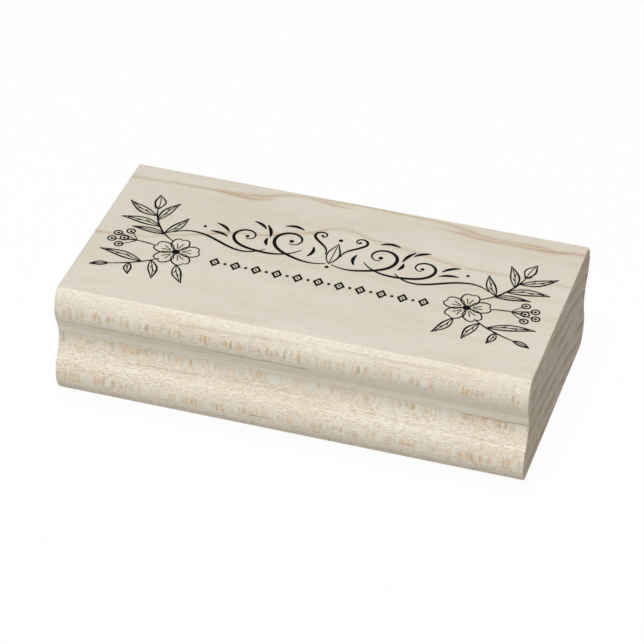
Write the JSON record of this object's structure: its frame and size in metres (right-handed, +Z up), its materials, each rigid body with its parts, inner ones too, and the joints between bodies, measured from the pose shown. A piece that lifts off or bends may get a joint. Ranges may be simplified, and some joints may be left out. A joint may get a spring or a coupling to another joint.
{
  "type": "rubber stamp",
  "caption": "Wood-mounted rubber stamp: a pale maple block with moulded finger grooves, a foam cushion and an engraved rubber die, its floral design also printed on top.",
  "frame": {"origin": "under the middle of the block, on the plane of the die's printing face, which is what the stamp rests on", "axes": "+X along the block's length, to the right for a user who reads the index; +Y across the block, away from that user; +Z up, from the printing face through the block to the index on its top"},
  "size_m": [0.0826, 0.0448, 0.0247],
  "materials": {
    "maple": "matte",
    "index_ink": "matte",
    "cushion_foam": "matte",
    "adhesive_film": "satin",
    "die_rubber": "matte"
  },
  "bodies": {
    "block": {"wood_block": "maple", "index_left_spray": "index_ink", "index_right_spray": "index_ink", "index_scroll": "index_ink", "index_bead_row": "index_ink", "block_adhesive": "adhesive_film", "foam_cushion": "cushion_foam"},
    "die": {"die_adhesive": "adhesive_film", "rubber_die": "die_rubber"}
  },
  "joints": [
    {"name": "cushion_press", "type": "slide", "parent": "block", "child": "die", "axis": [0, 0, 1], "range_m": [0, 0.0004], "stiffness_N_per_m": 60000, "deforming": ["foam_cushion"]}
  ]
}
